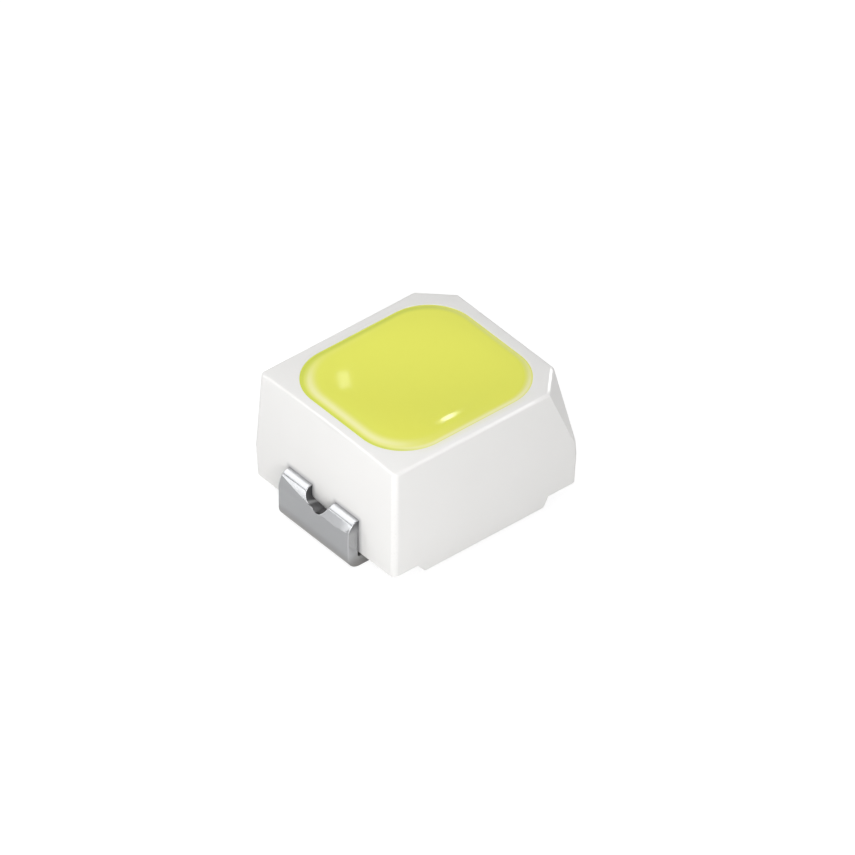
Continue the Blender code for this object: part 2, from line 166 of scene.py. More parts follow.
TOP_HALF_X = BODY_LENGTH / 2 - (TOP_HEIGHT - PARTING_LEVEL) * math.tan(END_DRAFT_ABOVE)
TOP_HALF_Y = BODY_WIDTH / 2 - (TOP_HEIGHT - PARTING_LEVEL) * math.tan(SIDE_DRAFT_ABOVE)
WINDOW_HALF_X = TOP_HALF_X - RIM_X
WINDOW_HALF_Y = TOP_HALF_Y - RIM_Y

# How far off most lamps stand, and the nearer two that light the part unevenly
LAMP_DISTANCE = 0.10
CORNER_LAMP_DISTANCE = 0.010
TOP_LAMP_DISTANCE = 0.011
BODY_MIDDLE = (0.0, 0.0, TOP_HEIGHT / 2)


# Shapes


def arc(centre, radius, start, end, steps):
    """Points along an arc, from one angle to another."""
    turn = (end - start) / steps
    angles = [start + turn * i for i in range(steps + 1)]
    return [(centre[0] + radius * math.cos(a), centre[1] + radius * math.sin(a)) for a in angles]


def rounded_rectangle(half_x, half_y, radius, steps):
    points = []
    for quarter, (sx, sy) in enumerate(((1, 1), (-1, 1), (-1, -1), (1, -1))):
        centre = (sx * (half_x - radius), sy * (half_y - radius))
        start = quarter * math.pi / 2
        points += arc(centre, radius, start, start + math.pi / 2, steps)
    return points


def ring_at(outline, z):
    return [(x, y, z) for x, y in outline]


def fillet(before, corner, after, radius, steps):
    """Points along the arc that rounds a corner of an outline."""
    corner = Vector(corner)
    back = (Vector(before) - corner).normalized()
    ahead = (Vector(after) - corner).normalized()
    half = back.angle(ahead) / 2
    centre = corner + (back + ahead).normalized() * radius / math.sin(half)
    first = corner + back * radius / math.tan(half) - centre
    last = corner + ahead * radius / math.tan(half) - centre
    start = math.atan2(first.y, first.x)
    turn = math.remainder(math.atan2(last.y, last.x) - start, 2 * math.pi)
    return arc(centre, radius, start, start + turn, steps)


def loft(rings):
    """A closed solid through rings of equal count."""
    bm = bmesh.new()
    rows = [[bm.verts.new(point) for point in ring] for ring in rings]
    count = len(rings[0])
    for low, high in zip(rows, rows[1:]):
        for i in range(count):
            j = (i + 1) % count
            bm.faces.new((low[i], low[j], high[j], high[i]))
    bm.faces.new(list(reversed(rows[0])))
    bm.faces.new(rows[-1])
    bmesh.ops.recalc_face_normals(bm, faces=bm.faces)
    return bm


def object_from(name, bm):
    mesh = bpy.data.meshes.new(name)
    bm.to_mesh(mesh)
    bm.free()
    obj = bpy.data.objects.new(name, mesh)
    bpy.context.scene.collection.objects.link(obj)
    return obj


def plain_mesh(obj):
    """Replaces an object's mesh with what its modifiers make of it, and removes them."""
    bpy.context.view_layer.update()
    graph = bpy.context.evaluated_depsgraph_get()
    made = bpy.data.meshes.new_from_object(obj.evaluated_get(graph))
    obj.modifiers.clear()
    obj.data = made
    return obj


def carve(obj, tool):
    """Takes the tool's shape out of an object, and removes the tool."""
    modifier = obj.modifiers.new("carve", "BOOLEAN")
    modifier.operation = "DIFFERENCE"
    modifier.solver = "EXACT"
    modifier.object = tool
    plain_mesh(obj)
    bpy.data.objects.remove(tool, do_unlink=True)


def shade(obj, sharp_degrees):
    obj.data.shade_smooth()
    obj.data.set_sharp_from_angle(angle=math.radians(sharp_degrees))


def finish_piece(obj, material, slot, *nodes):
    obj.data.materials.clear()
    obj.data.materials.append(material)
    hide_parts(*nodes)
    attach(obj, "root")


def hump(value, low, peak, high):
    """Rises from 0 at low to 1 at peak and falls to 0 at high."""
    if value <= low or value >= high:
        return 0.0
    share = (value - low) / (peak - low) if value < peak else (high - value) / (high - peak)
    return share * share * (3 - 2 * share)


# Moulding


def body_half_sizes(z):
    """Half the body's length and width at one height: both walls are drafted away from the parting line."""
    above = z > PARTING_LEVEL
    rise = abs(z - PARTING_LEVEL)
    end_draft = END_DRAFT_ABOVE if above else END_DRAFT_BELOW
    side_draft = SIDE_DRAFT_ABOVE if above else SIDE_DRAFT_BELOW
    return BODY_LENGTH / 2 - rise * math.tan(end_draft), BODY_WIDTH / 2 - rise * math.tan(side_draft)


def body_ring(z):
    return ring_at(rounded_rectangle(*body_half_sizes(z), CORNER_RADIUS, CORNER_STEPS), z)


def slant_corner(bm, hand):
    """Slices one slanted facet off the end at +X."""
    runout_z = TOP_HEIGHT - SLANT_DEPTH
    runout_x, runout_y = body_half_sizes(runout_z)
    first = Vector((TOP_HALF_X - SLANT_LEG, hand * TOP_HALF_Y, TOP_HEIGHT))
    second = Vector((TOP_HALF_X, hand * (TOP_HALF_Y - SLANT_LEG), TOP_HEIGHT))
    runout = Vector((runout_x, hand * runout_y, runout_z))
    normal = (second - first).cross(runout - first).normalized()
    if normal.x < 0:
        normal.negate()
    everything = bm.verts[:] + bm.edges[:] + bm.faces[:]
    cut = bmesh.ops.bisect_plane(
        bm, geom=everything, dist=FIT_GAP / 100, plane_co=first, plane_no=normal, clear_outer=True
    )
    open_edges = [item for item in cut["geom_cut"] if isinstance(item, bmesh.types.BMEdge)]
    bmesh.ops.contextual_create(bm, geom=open_edges)


def top_edges_of(bm):
    return [edge for edge in bm.edges if all(vertex.co.z > TOP_HEIGHT - FIT_GAP for vertex in edge.verts)]


def round_edges(bm, edges, radius, steps):
    bmesh.ops.bevel(
        bm, geom=edges, offset=radius, segments=steps, profile=0.5, affect="EDGES", clamp_overlap=True
    )


def underside_outline():
    """What is carved off below the body, seen from the side: a recess at each end, and the block between."""
    anode_end = -(BODY_LENGTH / 2 - ANODE_RECESS_LENGTH)
    cathode_end = BODY_LENGTH / 2 - CATHODE_RECESS_LENGTH
    far = BODY_LENGTH
    outline = [(-far, -far), (-far, RECESS_CEILING), (anode_end, RECESS_CEILING)]
    outline += fillet(
        (anode_end, RECESS_CEILING),
        (anode_end + ANODE_BLOCK_SLOPE, BLOCK_LEVEL),
        (0.0, BLOCK_LEVEL),
        BLOCK_EDGE_RADIUS,
        CORNER_STEPS,
    )
    outline += fillet(
        (0.0, BLOCK_LEVEL),
        (cathode_end - CATHODE_BLOCK_SLOPE, BLOCK_LEVEL),
        (cathode_end, RECESS_CEILING),
        BLOCK_EDGE_RADIUS,
        CORNER_STEPS,
    )
    return outline + [(cathode_end, RECESS_CEILING), (far, RECESS_CEILING), (far, -far)]


def cup_outline(z, shrink):
    """The reflector cup's outline at one height, drawn in by shrink."""
    share = (TOP_HEIGHT - z) / (TOP_HEIGHT - LEAD_TOP)
    inset = (TOP_HEIGHT - z) * math.tan(CUP_WALL_ANGLE) + shrink
    radius = WINDOW_CORNER_RADIUS + (CUP_FLOOR_CORNER_RADIUS - WINDOW_CORNER_RADIUS) * share - shrink
    return rounded_rectangle(WINDOW_HALF_X - inset, WINDOW_HALF_Y - inset, radius, WINDOW_STEPS)


def pillow_outline(inset):
    """A line at one distance in from the window's edge, on the silicone's surface."""
    half_x = WINDOW_HALF_X - inset
    half_y = WINDOW_HALF_Y - inset
    radius = max(WINDOW_CORNER_RADIUS - inset * 0.55, 0.02 * MM)
    radius = min(radius, half_x * 0.95, half_y * 0.95)
    return rounded_rectangle(half_x, half_y, radius, WINDOW_STEPS)


def is_round_of_top(face):
    """Whether a face belongs to the rounding along the top edges, and not to the window's mouth."""
    near_top = face.center.z > TOP_HEIGHT - TOP_EDGE_RADIUS * 1.1
    share_x = abs(face.center.x) / WINDOW_HALF_X
    share_y = abs(face.center.y) / WINDOW_HALF_Y
    outside_window = max(share_x, share_y) > 1.0 or share_x + share_y > 1.8
    turning = 0.06 < face.normal.z < 0.995
    return near_top and outside_window and turning


def is_near_upright_round(face):
    """Whether a face belongs to the rounded upright corner nearest the camera."""
    corner_x = face.center.x < CORNER_RADIUS * 2 - BODY_LENGTH / 2
    corner_y = face.center.y < CORNER_RADIUS * 2 - BODY_WIDTH / 2
    turning = abs(face.normal.z) < 0.3 and min(abs(face.normal.x), abs(face.normal.y)) > 0.15
    return corner_x and corner_y and turning


def top_edge_highlight(face):
    """How much painted highlight and gloss the rounding along the top gets at one face: it depends on the way
    that its edge faces.
    """
    sideways = Vector((face.normal.x, face.normal.y)).normalized()
    if sideways.x < -0.8:
        return ANODE_EDGE_HIGHLIGHT if face.normal.z > 0.6 else 0.0
    if sideways.y < -0.5:
        start, end = NEAR_EDGE_HIGHLIGHT
        return start + (end - start) * (face.center.x / TOP_HALF_X + 1) / 2
    return FAR_EDGE_HIGHLIGHT if face.center.x < 0.0 else 0.0


def mark_rounded_edges(mesh):
    """Notes how much painted highlight and gloss the faces of the rounded edges get, round the top and down
    the near corner.
    """
    rounded = mesh.attributes.new("edge_highlight_and_gloss", "FLOAT", "FACE")
    for face in mesh.polygons:
        edge_shine = 0.0
        if is_round_of_top(face):
            edge_shine = top_edge_highlight(face)
        elif is_near_upright_round(face):
            edge_shine = UPRIGHT_EDGE_HIGHLIGHT
        rounded.data[face.index].value = edge_shine


def lean_anode_end(mesh):
    """Draws the end wall at -X in a little towards its top, most in its middle, as in the photograph."""
    for vertex in mesh.vertices:
        rise = (vertex.co.z - PARTING_LEVEL) / (TOP_HEIGHT - PARTING_LEVEL)
        outside = (-vertex.co.x - WINDOW_HALF_X) / (TOP_HALF_X - WINDOW_HALF_X)
        middle = max(1 - (vertex.co.y / TOP_HALF_Y) ** 2, 0.0)
        if rise > 0.0 and outside > 0.0:
            vertex.co.x += (END_LEAN + SINK * middle) * rise * min(outside, 1.0)


def make_moulding(material, channels):
    """The white body: drafted walls, slants and rounded edges, with underside, cup and channels carved."""
    bm = loft([body_ring(0.0), body_ring(PARTING_LEVEL), body_ring(TOP_HEIGHT)])
    for hand in (-1, 1):
        slant_corner(bm, hand)
    bmesh.ops.recalc_face_normals(bm, faces=bm.faces)
    straight_edges = [edge for edge in top_edges_of(bm) if edge.calc_length() > CORNER_RADIUS]
    bmesh.ops.subdivide_edges(bm, edges=straight_edges, cuts=EDGE_CUTS)
    round_edges(bm, top_edges_of(bm), TOP_EDGE_RADIUS, TOP_EDGE_STEPS)
    moulding = object_from("moulded_housing", bm)
    under = loft([[(x, y, z) for x, z in underside_outline()] for y in (-BODY_WIDTH, BODY_WIDTH)])
    carve(moulding, object_from("under", under))
    cup = loft([ring_at(cup_outline(z, 0.0), z) for z in (LEAD_TOP, TOP_HEIGHT + SHEET)])
    carve(moulding, object_from("cup", cup))
    for channel in channels:
        carve(moulding, channel)
    mark_rounded_edges(moulding.data)
    lean_anode_end(moulding.data)
    shade(moulding, MOULDING_SHARP)
    finish_piece(moulding, material, "white_plastic", "housing")


# Leads


def flat_outline(pad_end, grow):
    """The outline of the flat sheet: its pad, the step down to the leg, and the leg out to its tip."""
    flat_length = TAIL_FLAT_END + grow
    pad_half = PAD_WIDTH / 2
    leg_half = LEAD_WIDTH / 2 + grow
    corner = (pad_end + PAD_CORNER_RADIUS, pad_half - PAD_CORNER_RADIUS)
    side = arc(corner, PAD_CORNER_RADIUS + grow, math.pi, math.pi / 2, PAD_CORNER_STEPS)
    side.append((SHOULDER_X - SHOULDER_SLOPE + grow, pad_half + grow))
    side.append((SHOULDER_X + grow, leg_half))
    side.append((flat_length, leg_half))
    return side + [(x, -y) for x, y in reversed(side)]


def notch_outline(grow):
    """The notch in the flat sheet: square inside the moulding, round and a little skewed round the bend."""
    start = math.asin((BODY_LENGTH / 2 + FIT_GAP - BEND_X) / BEND_RADIUS)
    edges = {-1: [], 1: []}
    for hand in (-1, 1):
        edges[hand].append((NOTCH_START + grow, hand * (NOTCH_WIDTH / 2 - grow)))
        for step in range(NOTCH_STEPS + 1):
            share = math.sin(step / NOTCH_STEPS * math.radians(84.0))
            turn = start + (NOTCH_TURN - start) * share
            turn *= 1 + hand * NOTCH_SKEW * share
            half = NOTCH_WIDTH / 2 * (1 - share ** NOTCH_ROUNDNESS) ** (1 / NOTCH_ROUNDNESS) - grow
            edges[hand].append((BEND_X + BEND_RADIUS * turn, hand * half))
    return edges[-1] + list(reversed(edges[1]))


def divide(bm, point, normal):
    """Cuts new edges through everything along one plane."""
    everything = bm.verts[:] + bm.edges[:] + bm.faces[:]
    bmesh.ops.bisect_plane(bm, geom=everything, dist=FIT_GAP / 50, plane_co=point, plane_no=normal)


def stamped_edges_of(bm):
    """The sharp edges of the sheet's two faces, where the punch went through."""
    level = [edge for edge in bm.edges if abs(edge.verts[0].co.z - edge.verts[1].co.z) < FIT_GAP]
    return [edge for edge in level if len(edge.link_faces) == 2 and edge.calc_face_angle() > SHARP_TURN]


def flat_blank(name, pad_end, grow):
    """The punched sheet, flat: its outer face on z = 0, and divided across where it will be folded.

    With grow above 0 it is the tool that carves the sheet's channel, larger all round by that much.
    """
    levels = (-SHEET - grow, grow)
    sheet = object_from(name, loft([ring_at(flat_outline(pad_end, grow), z) for z in levels]))
    hole = loft([ring_at(notch_outline(grow), z) for z in (-SHEET * 2, SHEET)])
    carve(sheet, object_from("notch", hole))
    bm = bmesh.new()
    bm.from_mesh(sheet.data)
    steps = CHANNEL_STEPS
    if grow == 0.0:
        steps = BEND_STEPS
        round_edges(bm, stamped_edges_of(bm), STAMPED_EDGE, STAMPED_EDGE_STEPS)
        for step in range(1, ACROSS_STEPS):
            divide(bm, (0, PAD_WIDTH * (step / ACROSS_STEPS - 0.5), 0), (0, 1, 0))
        for below in BELOW_NOTCH:
            divide(bm, (BEND_X + BEND_RADIUS * math.pi / 2 + below, 0, 0), (1, 0, 0))
    for start in (BEND_X, SECOND_BEND):
        for step in range(steps + 1):
            divide(bm, (start + BEND_RADIUS * math.pi / 2 * step / steps, 0, 0), (1, 0, 0))
    mark_cut_faces(bm)
    bm.to_mesh(sheet.data)
    bm.free()
    return sheet


def mark_cut_faces(bm):
    """Notes which faces of the flat sheet the punch cut, which are the notch's walls and how much painted
    shade they get, and which edges get a painted shine.

    One band of the notch's wall, on its -Y side in the flat sheet, is left out of the painted shade, as a
    painted highlight streak.
    """
    cut = bm.faces.layers.float.new("cut_edge")
    notch = bm.faces.layers.float.new("notch_painted_shade")
    shine_paint = bm.faces.layers.float.new("painted_edge_shine")
    for face in bm.faces:
        upright = abs(face.normal.z)
        middle = face.calc_center_median()
        in_notch = abs(middle.y) < NOTCH_WIDTH / 2 + STAMPED_EDGE / 2 and middle.x < SECOND_BEND
        # Painted highlight: one band of the notch's wall is left out of the painted shade.
        painted_streak = hump(-middle.y / MM, 0.075, 0.125, 0.165)
        face[cut] = 1.0 if upright < 0.5 else 0.0
        face[notch] = 1.0 - painted_streak if upright < 0.5 and in_notch else 0.0
        # Painted highlight on the rounding of the stamped edges.
        face[shine_paint] = 1.0 if 0.3 < upright < 0.97 else 0.0


def value_between(table, place):
    """Reads a table of (place, value) rows, straight between rows and level beyond its ends."""
    if place <= table[0][0]:
        return table[0][1]
    for (low, first), (high, second) in zip(table, table[1:]):
        if place <= high:
            return first + (second - first) * (place - low) / (high - low)
    return table[-1][1]


def press_bend(lead, side):
    """Presses the upper bend flat in two facets, which meet along a slanting crease."""
    axis_z = LEAD_TOP - BEND_RADIUS
    for vertex in lead.data.vertices:
        out_x = side * vertex.co.x - BEND_X
        out_z = vertex.co.z - axis_z
        turn = math.degrees(math.atan2(out_x, out_z))
        crease = value_between(CREASE, side * vertex.co.y)
        for start, end in ((FLAT_START, crease), (crease, FLAT_END)):
            if out_x <= 0.0 or not start < turn < end:
                continue
            away = math.radians(turn - (start + end) / 2)
            chord = BEND_RADIUS * math.cos(math.radians(end - start) / 2) / math.cos(away)
            distance = math.hypot(out_x, out_z)
            if distance > chord:
                vertex.co.x = side * (BEND_X + out_x * chord / distance)
                vertex.co.z = axis_z + out_z * chord / distance


def add_node(tree, kind, **settings):
    node = tree.nodes.new(kind)
    for key, value in settings.items():
        setattr(node, key, value)
    return node


def math_node(tree, operation, *values):
    node = add_node(tree, "ShaderNodeMath", operation=operation)
    for socket, value in zip(node.inputs, values):
        if isinstance(value, bpy.types.NodeSocket):
            tree.links.new(value, socket)
        else:
            socket.default_value = value
    return node.outputs[0]


def vector_from(tree, **parts):
    """A vector whose named parts, X, Y or Z, are linked from other sockets."""
    joined = add_node(tree, "ShaderNodeCombineXYZ")
    for axis, socket in parts.items():
        tree.links.new(socket, joined.inputs[axis])
    return joined.outputs[0]


def sum_of_products(tree, first, second, third, fourth, operation="ADD"):
    """First times second, plus (or minus) third times fourth."""
    left = math_node(tree, "MULTIPLY", first, second)
    right = math_node(tree, "MULTIPLY", third, fourth)
    return math_node(tree, operation, left, right)


def folded_once(tree, geometry, line, radius):
    """Rolls all that lies beyond a line across the sheet a quarter turn down, round an outside radius."""
    position = add_node(tree, "GeometryNodeInputPosition")
    split = add_node(tree, "ShaderNodeSeparateXYZ")
    tree.links.new(position.outputs[0], split.inputs[0])
    beyond = math_node(tree, "MAXIMUM", math_node(tree, "SUBTRACT", split.outputs["X"], line), 0.0)
    angle = math_node(tree, "MINIMUM", math_node(tree, "DIVIDE", beyond, radius), math.pi / 2)
    straight = math_node(tree, "SUBTRACT", beyond, math_node(tree, "MULTIPLY", angle, radius))
    reach = math_node(tree, "ADD", radius, split.outputs["Z"])
    sine = math_node(tree, "SINE", angle)
    cosine = math_node(tree, "COSINE", angle)
    before = math_node(tree, "MINIMUM", split.outputs["X"], line)
    rolled_x = sum_of_products(tree, reach, sine, straight, cosine)
    rolled_z = sum_of_products(tree, reach, cosine, straight, sine, "SUBTRACT")
    out_x = math_node(tree, "ADD", rolled_x, before)
    out_z = math_node(tree, "SUBTRACT", rolled_z, radius)
    place = add_node(tree, "GeometryNodeSetPosition")
    tree.links.new(geometry, place.inputs["Geometry"])
    tree.links.new(vector_from(tree, X=out_x, Y=split.outputs["Y"], Z=out_z), place.inputs["Position"])
    return place.outputs[0]


def folding_tree(material):
    """Geometry nodes that fold a flat sheet twice across, lift it, and turn it to its end of the part."""
    tree = bpy.data.node_groups.new("fold_lead", "GeometryNodeTree")
    sockets = tree.interface
    sockets.new_socket("Sheet", in_out="INPUT", socket_type="NodeSocketGeometry")
    for name in ("First fold", "Second fold", "Outside radius", "Level", "Turn about Z"):
        sockets.new_socket(name, in_out="INPUT", socket_type="NodeSocketFloat")
    sockets.new_socket("Lead", in_out="OUTPUT", socket_type="NodeSocketGeometry")
    source = add_node(tree, "NodeGroupInput").outputs
    once = folded_once(tree, source["Sheet"], source["Second fold"], source["Outside radius"])
    twice = folded_once(tree, once, source["First fold"], source["Outside radius"])
    stand = add_node(tree, "GeometryNodeTransform")
    tree.links.new(twice, stand.inputs["Geometry"])
    tree.links.new(vector_from(tree, Z=source["Level"]), stand.inputs["Translation"])
    tree.links.new(vector_from(tree, Z=source["Turn about Z"]), stand.inputs["Rotation"])
    real = add_node(tree, "GeometryNodeRealizeInstances")
    tree.links.new(stand.outputs[0], real.inputs[0])
    finish = add_node(tree, "GeometryNodeSetMaterial")
    finish.inputs["Material"].default_value = material
    tree.links.new(real.outputs[0], finish.inputs["Geometry"])
    result = add_node(tree, "NodeGroupOutput")
    tree.links.new(finish.outputs[0], result.inputs[0])
    return tree


def set_inputs(modifier, values):
    """Sets a Geometry Nodes modifier's inputs, found by name and set by identifier."""
    for item in modifier.node_group.interface.items_tree:
        if item.item_type == "SOCKET" and item.in_out == "INPUT" and item.name in values:
            modifier[item.identifier] = values[item.name]


def fold(sheet, tree, side):
    """Folds one flat sheet for the end at +X (side 1) or -X (side -1), and makes it a plain mesh."""
    modifier = sheet.modifiers.new("fold", "NODES")
    modifier.node_group = tree
    set_inputs(
        modifier,
        {
            "First fold": BEND_X,
            "Second fold": SECOND_BEND,
            "Outside radius": BEND_RADIUS,
            "Level": LEAD_TOP,
            "Turn about Z": 0.0 if side > 0 else math.pi,
        },
    )
    return plain_mesh(sheet)


# Silicone


def paint_rim(mesh, insets, count):
    """Writes the painted pale highlight and the painted green shade on the silicone near its rim."""
    pale = mesh.attributes.new("rim_painted_highlight", "FLOAT", "POINT")
    green = mesh.attributes.new("rim_painted_shade", "FLOAT", "POINT")
    for index, vertex in enumerate(mesh.vertices):
        inset = insets[index // count] / MM
        outwards = Vector((vertex.co.x / WINDOW_HALF_X, vertex.co.y / WINDOW_HALF_Y))
        outwards = Vector((outwards.x ** 3, outwards.y ** 3)).normalized()
        anode_side = max(-outwards.x, 0.0)
        near_side = max(-outwards.y, 0.0)
        far_side = max(outwards.y, 0.0)
        cathode_side = max(outwards.x, 0.0)
        # Painted highlight: pale bands inside the rim, wide at -X, narrow at -Y and faint at +X.
        wide = 0.8 * hump(inset, 0.03, 0.105, 0.21) * anode_side
        narrow = hump(inset, -0.01, 0.03, 0.09) * near_side
        faint = 0.5 * hump(inset, 0.0, 0.04, 0.1) * cathode_side
        pale.data[index].value = min(wide + 0.9 * narrow + faint, 1.0)
        # Painted shade: a green line at the rim's edge, and a green band on the far sides.
        line = hump(inset, -0.01, 0.02, 0.055) * (anode_side + 0.3 * far_side)
        band = hump(inset, 0.0, 0.05, 0.12) * (0.8 * far_side + 0.3 * cathode_side)
        green.data[index].value = min(line + band, 1.0)


def silicone_level(x, y, inset):
    """The height of the silicone's surface: it swells up from the rim, and rises to a low crown."""
    swell = 1 - (1 - min(inset / SWELL_WIDTH, 1.0)) ** 2
    crown = 1 - CROWN_FALL * ((x / WINDOW_HALF_X) ** 2 + (y / WINDOW_HALF_Y) ** 2) / 2
    rim = TOP_HEIGHT - RIM_DIP
    return rim + (CROWN_LEVEL - rim) * swell * crown


def silicone_normal(x, y):
    """Which way the silicone's surface faces at a point that isn't in a corner of the window."""
    step = 0.005 * MM

    def level(px, py):
        return silicone_level(px, py, min(WINDOW_HALF_X - abs(px), WINDOW_HALF_Y - abs(py)))

    slope_x = (level(x + step, y) - level(x - step, y)) / (2 * step)
    slope_y = (level(x, y + step) - level(x, y - step)) / (2 * step)
    return Vector((-slope_x, -slope_y, 1.0)).normalized()


def make_silicone(material):
    """The silicone that fills the cup, with its surface in rings that rise from the rim to a low crown."""
    full = WINDOW_HALF_Y - MOULD_GAP
    levels = (LEAD_TOP + MOULD_GAP, TOP_HEIGHT - RIM_DIP)
    rings = [ring_at(cup_outline(z, MOULD_GAP), z) for z in levels]
    insets = [0.0, 0.0]
    for step in range(1, SURFACE_RINGS + 1):
        inset = full * 0.99 * (step / SURFACE_RINGS) ** RING_CROWDING
        rings.append([(x, y, silicone_level(x, y, inset)) for x, y in pillow_outline(inset + MOULD_GAP)])
        insets.append(inset)
    silicone = object_from("phosphor_silicone", loft(rings))
    paint_rim(silicone.data, insets, len(rings[0]))
    shade(silicone, SILICONE_SHARP)
    finish_piece(silicone, material, "phosphor_silicone", "encapsulant")


# Finishes


def principled(name, colour, roughness, metallic=0.0):
    """A new material. Its plain colour and roughness are for viewers that can't show the nodes."""
    material = bpy.data.materials.new(name)
    material.use_nodes = True
    shader = material.node_tree.nodes["Principled BSDF"]
    shader.inputs["Base Color"].default_value = (*colour, 1.0)
    shader.inputs["Roughness"].default_value = roughness
    shader.inputs["Metallic"].default_value = metallic
    return material, material.node_tree, shader


def noise(tree, scale, detail=3.0):
    coordinates = add_node(tree, "ShaderNodeTexCoord")
    node = add_node(tree, "ShaderNodeTexNoise")
    node.inputs["Scale"].default_value = scale
    node.inputs["Detail"].default_value = detail
    tree.links.new(coordinates.outputs["Object"], node.inputs["Vector"])
    return node.outputs["Fac"]


def add_bump(tree, shader, height, distance, strength):
    bump = add_node(tree, "ShaderNodeBump")
    bump.inputs["Distance"].default_value = distance
    bump.inputs["Strength"].default_value = strength
    tree.links.new(height, bump.inputs["Height"])
    tree.links.new(bump.outputs[0], shader.inputs["Normal"])


def spread(tree, value, low, high):
    node = add_node(tree, "ShaderNodeMapRange")
    node.inputs["To Min"].default_value = low
    node.inputs["To Max"].default_value = high
    tree.links.new(value, node.inputs["Value"])
    return node.outputs[0]


def mix_colours(tree, factor, first, second):
    node = add_node(tree, "ShaderNodeMix", data_type="RGBA")
    tree.links.new(factor, node.inputs[0])
    for socket, value in ((node.inputs[6], first), (node.inputs[7], second)):
        if isinstance(value, bpy.types.NodeSocket):
            tree.links.new(value, socket)
        else:
            socket.default_value = (*value, 1.0)
    return node.outputs[2]


def mix_values(tree, factor, first, second):
    node = add_node(tree, "ShaderNodeMix", data_type="FLOAT")
    tree.links.new(factor, node.inputs[0])
    for socket, value in ((node.inputs[2], first), (node.inputs[3], second)):
        if isinstance(value, bpy.types.NodeSocket):
            tree.links.new(value, socket)
        else:
            socket.default_value = value
    return node.outputs[0]


def attribute(tree, name):
    node = add_node(tree, "ShaderNodeAttribute")
    node.attribute_name = name
    return node.outputs["Fac"]


def object_axes(tree):
    coordinates = add_node(tree, "ShaderNodeTexCoord")
    split = add_node(tree, "ShaderNodeSeparateXYZ")
    tree.links.new(coordinates.outputs["Object"], split.inputs[0])
    return split.outputs["X"], split.outputs["Y"], split.outputs["Z"]


def ramp(tree, value, start, end, low, high):
    """Goes smoothly from low to high while value goes from start to end."""
    node = add_node(tree, "ShaderNodeMapRange", interpolation_type="SMOOTHSTEP")
    node.inputs["From Min"].default_value = start
    node.inputs["From Max"].default_value = end
    node.inputs["To Min"].default_value = low
    node.inputs["To Max"].default_value = high
    tree.links.new(value, node.inputs["Value"])
    return node.outputs[0]


def distance_outside(tree, value, centre, half):
    """How far value lies outside centre plus or minus half, and 0 inside."""
    away = math_node(tree, "ABSOLUTE", math_node(tree, "SUBTRACT", value, centre))
    return math_node(tree, "MAXIMUM", math_node(tree, "SUBTRACT", away, half), 0.0)


def lead_shade(tree):
    """1 on the end faces where the plastic meets a lead, fading to 0 a little way off."""
    x, y, z = object_axes(tree)
    tab_middle = (LEAD_WIDTH + NOTCH_WIDTH) / 4
    tab_half = (LEAD_WIDTH - NOTCH_WIDTH) / 4
    across = distance_outside(tree, math_node(tree, "ABSOLUTE", y), tab_middle, tab_half)
    above = distance_outside(tree, z, LEAD_TOP / 2, LEAD_TOP / 2)
    away = math_node(tree, "SQRT", sum_of_products(tree, across, across, above, above))
    near = ramp(tree, away, 0.0, 0.09 * MM, 1.0, 0.0)
    end_face = BODY_LENGTH / 2
    on_end = ramp(tree, math_node(tree, "ABSOLUTE", x), end_face - 0.06 * MM, end_face - 0.03 * MM, 0.0, 1.0)
    return math_node(tree, "MULTIPLY", math_node(tree, "POWER", near, 1.6), on_end)


def phosphor_spill_light(tree):
    """How much painted yellow light from the phosphor lies on the white rim, beside the middle of the
    window's side at -Y.
    """
    x, y, z = object_axes(tree)
    outwards = math_node(tree, "MULTIPLY", y, -1.0)
    fading = ramp(tree, outwards, WINDOW_HALF_Y, WINDOW_HALF_Y + 0.12 * MM, 0.6, 0.0)
    this_side = ramp(tree, outwards, WINDOW_HALF_Y - 0.2 * MM, WINDOW_HALF_Y - 0.1 * MM, 0.0, 1.0)
    middle = ramp(tree, math_node(tree, "ABSOLUTE", x), 0.5 * MM, 1.1 * MM, 1.0, 0.0)
    top = ramp(tree, z, TOP_HEIGHT - 0.03 * MM, TOP_HEIGHT - 0.01 * MM, 0.0, 1.0)
    beside = math_node(tree, "MULTIPLY", fading, this_side)
    along = math_node(tree, "MULTIPLY", middle, top)
    return math_node(tree, "MULTIPLY", beside, along)


def white_plastic():
    """White moulding compound with fine grain and mottling, smoother and with painted highlight at its edges,
    painted yellow light beside the window, and painted shade by the leads.
    """
    material, tree, shader = principled("white_plastic", (0.83, 0.83, 0.815), 0.4)
    mottle = mix_colours(tree, noise(tree, 900.0), (0.821, 0.814, 0.799), (0.851, 0.844, 0.831))
    edges = attribute(tree, "edge_highlight_and_gloss")
    # Painted light: yellow light from the phosphor on the rim beside the window.
    spill_lit = mix_colours(tree, phosphor_spill_light(tree), mottle, (0.80, 0.79, 0.62))
    # Painted highlight: the rounded edges are made paler, to draw bright lines along them.
    lighter = mix_colours(tree, edges, spill_lit, (0.965, 0.955, 0.94))
    shaded = mix_colours(tree, lead_shade(tree), lighter, (0.56, 0.555, 0.56))
    tree.links.new(shaded, shader.inputs["Base Color"])
    grain = noise(tree, 40000.0)
    matt = spread(tree, grain, 0.36, 0.46)
    tree.links.new(mix_values(tree, edges, matt, 0.09), shader.inputs["Roughness"])
    add_bump(tree, shader, grain, 0.0006 * MM, 0.35)
    return material


